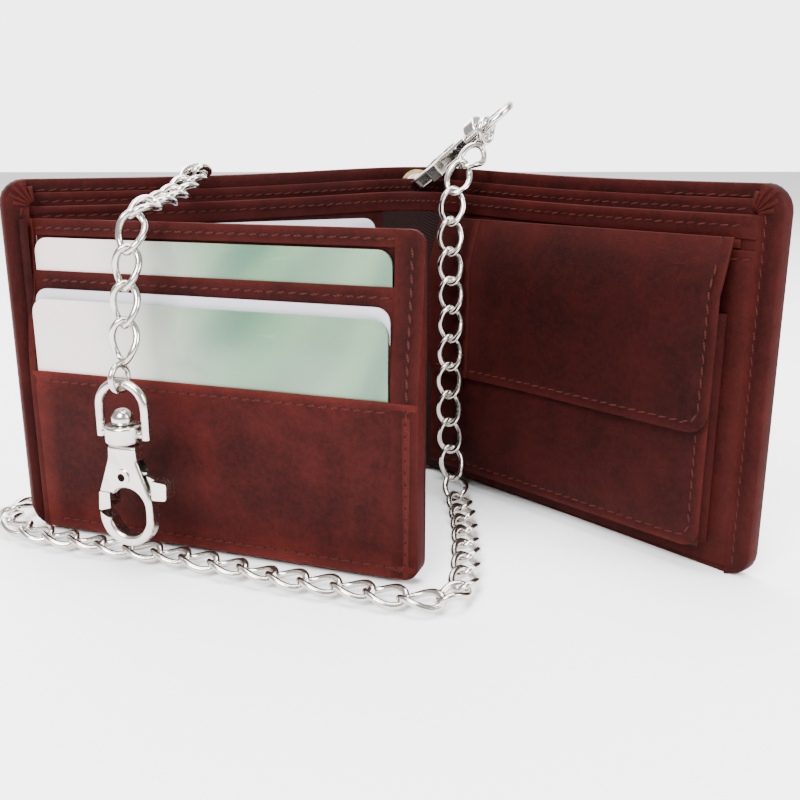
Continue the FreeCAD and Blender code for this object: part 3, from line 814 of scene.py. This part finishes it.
class WALLET_OT_inside(Builder, bpy.types.Operator):
    """Make the bill divider, the inner panel with its hem, and the side bindings"""

    bl_idname = "wallet.inside"
    bl_label = "Inside"

    def build(self, settings):
        blanks = stitch_blank()
        slopes = (LEFT_SLOPE / 2, RIGHT_SLOPE / 2)
        divider_lie = Wrap(1.8 * MM, slopes, 17 * MM, 9.5 * MM, 7.0, 0.15 * MM, up=(76.9 * MM,))
        divider = bent_plate("bill_divider", -BORDER, BORDER, 1.5 * MM, 79 * MM, 0.7 * MM, divider_lie,
                             radii=(0, 0, 3 * MM, 3 * MM), cuts=([], seam_cuts(76.9 * MM)))
        nodes = ("bill_divider_left", "bill_divider_right")
        dress(smooth(divider), None, "leather", "inner", stands_for=nodes)
        cross_spine(divider)
        slopes = (LEFT_SLOPE, RIGHT_SLOPE)
        panel_lie = Wrap(2.7 * MM, slopes, 19 * MM, 12 * MM, 9.0, 0.15 * MM)
        panel = bent_plate("inner_panel", -BORDER, BORDER, 1.5 * MM, 75.6 * MM, 0.7 * MM, panel_lie)
        dress(smooth(panel), None, "leather", "inner", stands_for=("inner_panel_left", "inner_panel_right"))
        cross_spine(panel)
        cloth_lie = Wrap(3.42 * MM, slopes, 19 * MM, 12 * MM, 9.0, 0.15 * MM)
        cloth = bent_plate("spine_cloth", -14.4 * MM, 18 * MM, 1.5 * MM, 72 * MM, 0.3 * MM, cloth_lie, rim=0)
        dress(smooth(cloth), None, "lining", "lining", stands_for=("spine_lining",))
        cross_spine(cloth)
        hem_lie = Wrap(3.3 * MM, slopes, 19 * MM, 12 * MM, 9.0, 0.15 * MM, up=(73.7 * MM,))
        hem = bent_plate("panel_hem", -BORDER, BORDER, 71.2 * MM, 76.0 * MM, 0.75 * MM, hem_lie,
                         cuts=([], seam_cuts(73.7 * MM)), rim=0.3 * MM)
        dress(smooth(hem), None, "leather", "inner")
        cross_spine(hem)
        for name, lie, z, y in (("divider_stitches", divider_lie, 76.9 * MM, 0.7 * MM),
                                ("hem_stitches", hem_lie, 73.7 * MM, 0.75 * MM)):
            cross_spine(sew(name, [[(-BORDER + 3 * MM, z), (BORDER - 3 * MM, z)]], lie, y, -1, blanks))
        for word, matrix, thick in (("left", LEFT, 5.6 * MM), ("right", RIGHT, 3.9 * MM)):
            self.binding(word, matrix, thick, blanks)

    def binding(self, word, matrix, thick, blanks):
        """The cover's turned edge over the ends of the layers, with its pleated corner and lower band."""
        seam, body = 105.2 * MM, word + "_side"
        lie = Lie(matrix, -0.05 * MM, along=(seam,), wave=0.05 * MM)
        ends = (103.6 * MM, HALF + 0.1 * MM, 0, HEIGHT + 0.05 * MM)
        strip = plate("turned_edge_" + word, *ends, thick, (0, 6 * MM, 6 * MM, 0),
                      (seam_cuts(seam), []), 1.2 * MM)
        form(strip, lie, ends)
        nodes = ("side_binding_" + word, "bottom_seam_" + word)
        dress(smooth(strip), body, "leather", "cover", stands_for=nodes)
        for number, (angle, reach) in enumerate(((14, 3.6), (30, 5.0), (47, 5.6), (64, 4.8), (80, 3.4))):
            self.pleat(word, number, matrix, math.radians(angle), reach * MM, thick)
        low, high = 2.4 * MM, 7.4 * MM
        bottom_lie = Lie(matrix, 1.4 * MM, wave=0)
        ends = (14 * MM, 104.0 * MM, 0.2 * MM, high)
        band = plate("bottom_band_" + word, *ends, 2.2 * MM, rim=0.4 * MM, cuts=([], seam_cuts(low)))
        form(band, bottom_lie, ends)
        dress(smooth(band), body, "leather", "cover")
        row = [[(seam, 79 * MM), (seam, low + 1 * MM)]]
        sew("turned_edge_stitches_" + word, row, lie, thick, -1, blanks, body)
        row = [[(seam - 3 * MM, low), (16 * MM, low)]]
        sew("bottom_stitches_" + word, row, bottom_lie, 2.2 * MM, -1, blanks, body)

    def pleat(self, word, number, matrix, angle, reach, thick):
        """One small fold of leather gathered round the corner."""
        wide = 0.55 * MM
        obj = plate("corner_pleat_{}_{}".format(word, number), 0, reach, -wide, wide, 1.0 * MM,
                    rim=0.3 * MM, step=1 * MM)
        centre = Vector((102.2 * MM, 75.9 * MM))

        def gather(u, y, z):
            narrow = 0.45 + 0.55 * u / reach
            hump = 0.35 * MM * math.sin(math.pi * u / reach)
            out = 1.2 * MM + u
            across = z * narrow
            return matrix @ Vector((centre.x + out * math.cos(angle) - across * math.sin(angle),
                                    thick - 1.0 * MM + y + hump,
                                    centre.y + out * math.sin(angle) + across * math.cos(angle)))

        form(obj, gather, (0, reach, -wide, wide))
        dress(smooth(obj), word + "_side", "leather", "cover")


def panel_piece(name, ends, thick, lie, body, finish, nodes=(), radii=(0, 0, 0, 0),
                seams=((), ()), rim=0.25 * MM):
    """A flat leather piece on one body."""
    obj = plate(name, *ends, thick, radii, (seam_cuts(*seams[0]), seam_cuts(*seams[1])), rim)
    form(obj, lie, ends)
    return dress(smooth(obj), body, "leather", finish, stands_for=nodes)


class WALLET_OT_coin_pocket(Builder, bpy.types.Operator):
    """Make the coin pocket, its gusset and its flap on the right half"""

    bl_idname = "wallet.coin_pocket"
    bl_label = "Coin pocket"

    def build(self, settings):
        blanks = stitch_blank()
        base = 3.42 * MM
        back_top = 69 * MM
        back = Lie(RIGHT, base, RIGHT_SLOPE, 11.0, 0.12 * MM, up=(back_top - 2 * MM,))
        ends = (17 * MM, BORDER - 0.3 * MM, 1.6 * MM, back_top)
        panel_piece("back_pocket", ends, 0.6 * MM, back, "right_side", "inner", ("back_pocket_right",),
                    seams=((), (back_top - 2 * MM,)))
        row = [[(98 * MM, back_top - 1.9 * MM), (BORDER - 1 * MM, back_top - 1.9 * MM)]]
        sew("back_pocket_stitches", row, back, 0.6 * MM, -1, blanks, "right_side")
        self.gusset()
        front_depth = 7.9 * MM
        ends = (17 * MM, 99.5 * MM, 5.5 * MM, 56 * MM)
        side, low = 97.0 * MM, 7.6 * MM
        front = Lie(RIGHT, front_depth, RIGHT_SLOPE, 13.0, 0.35 * MM, 24 * MM, (low,), (side,))
        panel_piece("coin_pocket_leather", ends, 0.7 * MM, front, "right_side", "pocket",
                    ("coin_pocket_front",), (0, 4 * MM, 0, 0), ((side,), (low,)))
        row = [[(side, 54 * MM), (side, low + 3 * MM), *arc(side - 3 * MM, low + 3 * MM, 3 * MM, 0, -90),
                (20 * MM, low)]]
        sew("coin_pocket_stitches", row, front, 0.7 * MM, -1, blanks, "right_side")
        ends = (32.2 * MM, 100.5 * MM, 69.3 * MM, 71.1 * MM)
        tuck = Lie(RIGHT, base + 0.1 * MM, RIGHT_SLOPE, wave=0)
        panel_piece("flap_root", ends, 0.5 * MM, tuck, "right_side", "inner", ("flap_tuck_strip",))
        self.flap(blanks)

    def gusset(self):
        """The folded side and bottom of the coin pocket."""
        pleats = Lie(RIGHT, 4.1 * MM, RIGHT_SLOPE, wave=0)

        def fold(u, y, z):
            tuck = 1.3 * MM * math.sin(math.pi * y / (3.7 * MM)) ** 2
            return pleats(u - tuck, y, z)

        obj = plate("coin_gusset_side", 97.4 * MM, 99.3 * MM, 5.8 * MM, 56 * MM, 3.7 * MM, rim=0.3 * MM)
        activate(obj)
        bpy.ops.object.mode_set(mode="EDIT")
        for n in range(1, 8):
            bpy.ops.mesh.select_all(action="SELECT")
            bpy.ops.mesh.bisect(plane_co=(0, 3.7 * MM * n / 8, 0), plane_no=(0, 1, 0))
        bpy.ops.object.mode_set(mode="OBJECT")
        form(obj, fold, (97.4 * MM, 99.3 * MM, 5.8 * MM, 56 * MM))
        dress(smooth(obj), "right_side", "leather", "dark", stands_for=("coin_gusset",))
        ends = (17.2 * MM, 98 * MM, 5.8 * MM, 7.2 * MM)
        panel_piece("coin_gusset_bottom", ends, 3.7 * MM, pleats, "right_side", "dark")
        ends = (17.2 * MM, 18.4 * MM, 5.8 * MM, 56 * MM)
        panel_piece("coin_gusset_end", ends, 3.7 * MM, pleats, "right_side", "dark")

    def flap(self, blanks):
        """The coin flap: it comes out from under the hem and lifts a little along its edge."""
        low, side, left, top = 33.6 * MM, 98.2 * MM, 17.5 * MM, 71.6 * MM

        def draped(base):
            def lay(u, y, z):
                lower = max(0.0, (52 * MM - z) / (20 * MM))
                lift = 0.7 * MM * lower * lower * (0.6 + 0.5 * math.sin(u / (11 * MM)))
                upper = min(max((z - 60 * MM) / (top - 60 * MM), 0.0), 1.0)
                drop = 3.6 * MM * upper * upper * (3 - 2 * upper)
                return base(u, y + lift - drop, z)
            return lay

        lifted = draped(Lie(RIGHT, 9.3 * MM, RIGHT_SLOPE, 17.0, 0.3 * MM, 26 * MM, (low,), (side,)))
        under = draped(Lie(RIGHT, 9.02 * MM, RIGHT_SLOPE, 17.0, 0.3 * MM, 26 * MM))
        split = 32.2 * MM
        seams = ((side,), (low,))
        ends = (split, 100.5 * MM, 31.5 * MM, top)
        panel_piece("coin_flap_leather", ends, 0.8 * MM, lifted, "coin_flap", "dark", ("coin_flap",),
                    (0, 4.5 * MM, 0, 0), seams)
        ends = (left, split - 0.15 * MM, 31.5 * MM, top)
        panel_piece("coin_flap_fixed_end", ends, 0.8 * MM, lifted, "right_side", "dark", (),
                    (4 * MM, 0, 0, 0), ((), (low,)))
        inset = (split + 1 * MM, 99.5 * MM, 32.5 * MM, 69.5 * MM)
        obj = plate("coin_flap_lining_cloth", *inset, 0.27 * MM, (0, 4.5 * MM, 0, 0), rim=0)
        form(obj, under, inset)
        dress(smooth(obj), "coin_flap", "lining", "suede", stands_for=("coin_flap_lining",))
        row = [[(split + 0.6 * MM, low), (side - 3 * MM, low),
                *arc(side - 3 * MM, low + 3 * MM, 3 * MM, -90, 0), (side, 70.5 * MM)]]
        sew("coin_flap_stitches", row, lifted, 0.8 * MM, -1, blanks, "coin_flap")
        row = [[(left + 3 * MM, low), (split - 0.6 * MM, low)]]
        sew("coin_flap_end_stitches", row, lifted, 0.8 * MM, -1, blanks, "right_side")


class WALLET_OT_left_half(Builder, bpy.types.Operator):
    """Make the slip pocket behind the card flap"""

    bl_idname = "wallet.left_half"
    bl_label = "Left half"

    def build(self, settings):
        blanks = stitch_blank()
        top = 60 * MM
        lie = Lie(LEFT, 4.35 * MM, LEFT_SLOPE, 19.0, 0.15 * MM, up=(top - 2.2 * MM,))
        ends = (16.5 * MM, 100 * MM, 1.6 * MM, top)
        panel_piece("slip_pocket", ends, 0.5 * MM, lie, "left_side", "inner", ("slip_pocket_left",),
                    seams=((), (top - 2.2 * MM,)))
        row = [[(19 * MM, top - 2.2 * MM), (98 * MM, top - 2.2 * MM)]]
        sew("slip_pocket_stitches", row, lie, 0.5 * MM, -1, blanks, "left_side")


class WingLie:
    """Where a layer of the card flap lies: x along it, y towards its back, z up."""

    def __init__(self, depth, seed=0.0, wave=0.12 * MM, up=(), along=()):
        self.depth, self.seed, self.wave, self.up, self.along = depth, seed, wave, up, along

    def __call__(self, u, y, z):
        press = groove(z, self.up) + groove(u, self.along)
        bow = 0.35 * MM * math.sin(math.pi * min(max(u / WING_WIDTH, 0), 1))
        pressed = press * (1 if y < 0.1 * MM else 0)
        depth = self.depth + y + pressed + bow + ripple(u, z, self.seed, self.wave, 25 * MM)
        return WING @ Vector((u, depth, z))


def sloped_strip(thick, along=None, low=0.0):
    """The lie of a border strip whose front falls back towards the top, where fewer layers lie under it."""
    back = 4.2 * MM
    seams = (along,) if along else ()

    def lay(u, y, z):
        share = min(max((z - 38 * MM) / (33 * MM), 0.0), 1.0)
        front = -0.42 * MM + 3.6 * MM * share * share * (3 - 2 * share)
        press = groove(u, seams) + groove(z, (low,))
        bow = 0.35 * MM * math.sin(math.pi * min(max(u / WING_WIDTH, 0), 1))
        depth = front + y + press if y <= 0 else front + (back - front) * y / thick
        return WING @ Vector((u, depth + bow, z))
    return lay


class WALLET_OT_card_wing(Builder, bpy.types.Operator):
    """Make the card flap: its back, its sewn frame and its three card slots"""

    bl_idname = "wallet.card_wing"
    bl_label = "Card flap"

    def build(self, settings):
        blanks = stitch_blank()
        foot, top = 1.5 * MM, 73.5 * MM
        corners = (0, 3 * MM, 3 * MM, 0)
        right, high, low = 91.9 * MM, 70.9 * MM, 3.9 * MM
        back = WingLie(4.2 * MM, 21.0)
        ends = (2 * MM, WING_WIDTH, foot, top)
        panel_piece("wing_back_leather", ends, 0.7 * MM, back, "card_wing", "cover", ("wing_back",), corners,
                    ((right,), (high, low)))
        rim = sloped_strip(4.6 * MM, right, low)
        ends = (88.3 * MM, WING_WIDTH, foot, top)
        panel_piece("wing_frame_right", ends, 4.6 * MM, rim, "card_wing", "pocket",
                    ("wing_border_right",), corners, ((right,), (high, low)), 0.45 * MM)
        rim_top = WingLie(3.8 * MM, 23.0, 0.03 * MM, (high,))
        ends = (0.3 * MM, 90 * MM, 69.8 * MM, top)
        panel_piece("wing_frame_top", ends, 0.42 * MM, rim_top, "card_wing", "pocket",
                    ("wing_border_top",), seams=((), (high,)))
        ends = (0.2 * MM, 2.0 * MM, foot, top)
        panel_piece("wing_frame_left", ends, 4.6 * MM, sloped_strip(4.6 * MM), "card_wing", "pocket",
                    ("wing_border_left",), rim=0.35 * MM)
        slots = (("lower", 39.5, -0.4, 0.6), ("middle", 50.8, 1.1, 0.5), ("upper", 62.2, 2.5, 0.4))
        for word, height, depth, thick in slots:
            seam = (height - 2.2) * MM
            lie = WingLie(depth * MM, 25.0 + depth, 0.08 * MM, (seam,))
            reach = 94.2 * MM if word == "lower" else 88.4 * MM
            ends = (1.0 * MM, reach, foot, height * MM)
            finish = "face" if word == "lower" else "pocket"
            panel_piece("card_slot_" + word + "_leather", ends, thick * MM, lie, "card_wing", finish,
                        ("card_slot_" + word,), (0, 2.8 * MM if word == "lower" else 0, 0, 0),
                        ((), (seam,)), 0.18 * MM)
            row = [[(3.5 * MM, seam), (87.6 * MM, seam)]]
            sew("slot_stitches_" + word, row, lie, 0, 1, blanks, "card_wing")
        frame_row = [[(right, high - 0.5 * MM), (right, 40 * MM)]]
        sew("wing_frame_stitches", frame_row, rim, 0, 1, blanks, "card_wing")
        row = [[(2 * MM, high + 0.6 * MM), (90 * MM, high + 0.6 * MM)]]
        sew("wing_top_stitches", row, rim_top, 0, 1, blanks, "card_wing")
        lower = WingLie(-0.4 * MM, 24.6, 0.08 * MM)
        row = [[(3 * MM, low), (right - 1 * MM, low), (right, low + 1 * MM), (right, 39 * MM)]]
        sew("wing_bottom_stitches", row, lower, 0, 1, blanks, "card_wing")
        behind = [[(4 * MM, high), (right, high), (right, low), (4 * MM, low)]]
        sew("wing_back_stitches", behind, back, 0.7 * MM, -1, blanks, "card_wing")
        self.hinge()

    def hinge(self):
        """The soft strip that joins the card flap to the left half."""
        def bend(u, y, z):
            start = LEFT @ Vector((105.6 * MM, 5.3 * MM, z))
            end = WING @ Vector((1.4 * MM, 1.2 * MM, z))
            middle = LEFT @ Vector((106.9 * MM, 6.6 * MM, z))
            line = start * (1 - u) ** 2 + middle * 2 * u * (1 - u) + end * u * u
            across = (end - start).normalized().cross(UP)
            return line - across * (y * MM)
        obj = plate("wing_hinge_leather", 0, 1, 1.5 * MM, 73.5 * MM, 0.8, rim=0, step=0.1)
        activate(obj)
        bpy.ops.object.mode_set(mode="EDIT")
        for place in spread(1.5 * MM, 73.5 * MM, 6 * MM):
            bpy.ops.mesh.select_all(action="SELECT")
            bpy.ops.mesh.bisect(plane_co=(0, 0, place), plane_no=(0, 0, 1))
        bpy.ops.object.mode_set(mode="OBJECT")
        form(obj, bend)
        smooth(obj)
        dress(obj, None, "leather", "pocket", stands_for=("wing_hinge_strip",))
        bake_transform(obj)


class WALLET_OT_cards(Builder, bpy.types.Operator):
    """Make the four plain cards"""

    bl_idname = "wallet.cards"
    bl_label = "Cards"

    def build(self, settings):
        width, height, thick = 85.6 * MM, 54 * MM, 0.68 * MM
        places = (("front", 2.2, 2.0, 0.31, "printed"), ("middle", 2.2, 4.2, 1.71, "grey"),
                  ("top", 2.2, 15.4, 3.01, "printed"))
        for word, x, foot, depth, finish in places:
            lie = WingLie(depth * MM, wave=0)
            self.card(word, x * MM, foot * MM, width, height, thick, lie, finish, 1)
        lie = Lie(LEFT, 3.51 * MM, LEFT_SLOPE, wave=0)
        self.card("left", 18 * MM, 17 * MM, width, height, thick, lie, "grey", -1)

    def card(self, word, x, foot, width, height, thick, lie, finish, turn):
        ends = (x, x + width, foot, foot + height)
        obj = plate("payment_card_" + word, *ends, thick, (3.2 * MM,) * 4, rim=0.08 * MM, step=12 * MM)
        across = obj.data.attributes.new("card_across", "FLOAT", "POINT")
        upward = obj.data.attributes.new("card_up", "FLOAT", "POINT")
        for n, vertex in enumerate(obj.data.vertices):
            share = (vertex.co.x - x) / width
            across.data[n].value = share if turn > 0 else 1 - share
            upward.data[n].value = (vertex.co.z - foot) / height
        form(obj, lie)
        slot = "card_printed" if finish == "printed" else "card_grey"
        dress(smooth(obj, 30), "card_" + word, slot, finish, stands_for=("card_" + word,))


class WALLET_OT_chain(Builder, bpy.types.Operator):
    """Make the curb chain from link to link along its route"""

    bl_idname = "wallet.chain"
    bl_label = "Chain"

    def build(self, settings):
        sizes = settings.chain
        blank = link_blank(sizes)
        main, line, length = chain_mesh("curb_chain", MAIN_CHAIN, blank, sizes, (-0.3, -1, 0.2))
        dress(main, "left_side", "chain_metal", "chain", stands_for=("chain_main",))
        bridge, line, length = chain_mesh("curb_chain_bridge", BRIDGE_CHAIN, blank, sizes, (0, 0, 1))
        dress(bridge, None, "chain_metal", "chain", stands_for=("chain_bridge",))
        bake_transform(bridge)
        drop, line, length = chain_mesh("curb_chain_drop", DROP_CHAIN, blank, sizes, (0, 0, 1))
        dress(drop, "front_drop", "chain_metal", "chain", stands_for=("chain_front_drop",))


class WALLET_OT_metal(Builder, bpy.types.Operator):
    """Plate the hooks, the eyelet and the springs"""

    bl_idname = "wallet.metal"
    bl_label = "Hooks and eyelet"

    def build(self, settings):
        plating = {"hook_metal": "nickel", "eyelet_metal": "brass", "spring_wire": "spring"}
        for row in frame["record"]["subparts"]:
            if row["material_slot"] in plating:
                obj = frame["nodes"][row["node"]]
                obj.material_slots[0].material = FINISHES[plating[row["material_slot"]]]


class WALLET_OT_stage(Builder, bpy.types.Operator):
    """Set up the floor, the soft studio light and the camera"""

    bl_idname = "wallet.stage"
    bl_label = "Stage"

    def build(self, settings):
        stage = settings.stage
        deselect()
        bpy.ops.mesh.primitive_plane_add(size=8)
        floor = bpy.context.object
        floor.name = "floor"
        paper = Finish("white_paper", roughness=0.7)
        paper.set("Base Color", (*stage.floor, 1))
        floor.data.materials.append(paper.material)
        self.lights()
        self.sky()
        camera = bpy.data.cameras.new("camera")
        camera.lens, camera.sensor_width, camera.shift_y = stage.lens, 36, stage.shift
        camera.clip_start = 0.01
        holder = bpy.data.objects.new("camera", camera)
        holder.location = stage.camera
        holder.rotation_euler = (math.pi / 2 - stage.tilt, 0, -stage.turn)
        bpy.context.collection.objects.link(holder)
        bpy.context.scene.camera = holder

    def lights(self):
        rows = (("key", (-0.35, -0.75, 0.75), 0.50, 30.0), ("side", (0.75, -0.35, 0.45), 0.40, 9.0),
                ("top", (0.0, 0.05, 0.9), 0.6, 19.0), ("back", (-0.3, 0.7, 0.6), 0.5, 7.0))
        for name, place, size, power in rows:
            light = bpy.data.lights.new(name, "AREA")
            light.shape, light.size, light.energy = "SQUARE", size, power
            holder = bpy.data.objects.new(name, light)
            holder.location = place
            aim = Vector((0, -0.03, 0.04)) - Vector(place)
            holder.rotation_euler = aim.to_track_quat("-Z", "Y").to_euler()
            bpy.context.collection.objects.link(holder)

    def sky(self):
        """Bright behind the wallet, dim all round the sides and behind the camera."""
        world = bpy.data.worlds.new("studio")
        world.use_nodes = True
        tree = world.node_tree
        back = tree.nodes["Background"]
        where = tree.nodes.new("ShaderNodeTexCoord")
        apart = tree.nodes.new("ShaderNodeSeparateXYZ")
        ramp = tree.nodes.new("ShaderNodeMapRange")
        ramp.inputs["From Min"].default_value = 0.45
        ramp.inputs["From Max"].default_value = 0.86
        ramp.inputs["To Min"].default_value = 0.26
        ramp.inputs["To Max"].default_value = 1.7
        tree.links.new(where.outputs["Generated"], apart.inputs[0])
        tree.links.new(apart.outputs["Y"], ramp.inputs["Value"])
        tree.links.new(ramp.outputs[0], back.inputs["Color"])
        back.inputs["Strength"].default_value = 2.6
        bpy.context.scene.world = world


class WALLET_PT_panel(bpy.types.Panel):
    """The wallet's steps and sizes"""

    bl_label = "Chain wallet"
    bl_idname = "WALLET_PT_panel"
    bl_space_type = "VIEW_3D"
    bl_region_type = "UI"
    bl_category = "Wallet"

    def draw(self, context):
        for operator in OPERATORS:
            self.layout.operator(operator.bl_idname)
        for group in (context.scene.wallet.chain, context.scene.wallet.stage):
            for name in group.__annotations__:
                self.layout.prop(group, name)


OPERATORS = (WALLET_OT_finishes, WALLET_OT_stage, WALLET_OT_chain, WALLET_OT_cover, WALLET_OT_inside,
             WALLET_OT_coin_pocket, WALLET_OT_left_half, WALLET_OT_card_wing, WALLET_OT_cards,
             WALLET_OT_metal)
CLASSES = (ChainSizes, StageSizes, WalletSettings, *OPERATORS, WALLET_PT_panel)


def register():
    for each in CLASSES:
        bpy.utils.register_class(each)
    bpy.types.Scene.wallet = PointerProperty(type=WalletSettings)


def unregister():
    del bpy.types.Scene.wallet
    for each in reversed(CLASSES):
        bpy.utils.unregister_class(each)


def main():
    register()
    for operator in OPERATORS:
        name = operator.bl_idname.split(".")[1]
        getattr(bpy.ops.wallet, name)()
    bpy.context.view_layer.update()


if __name__ == "__main__":
    main()
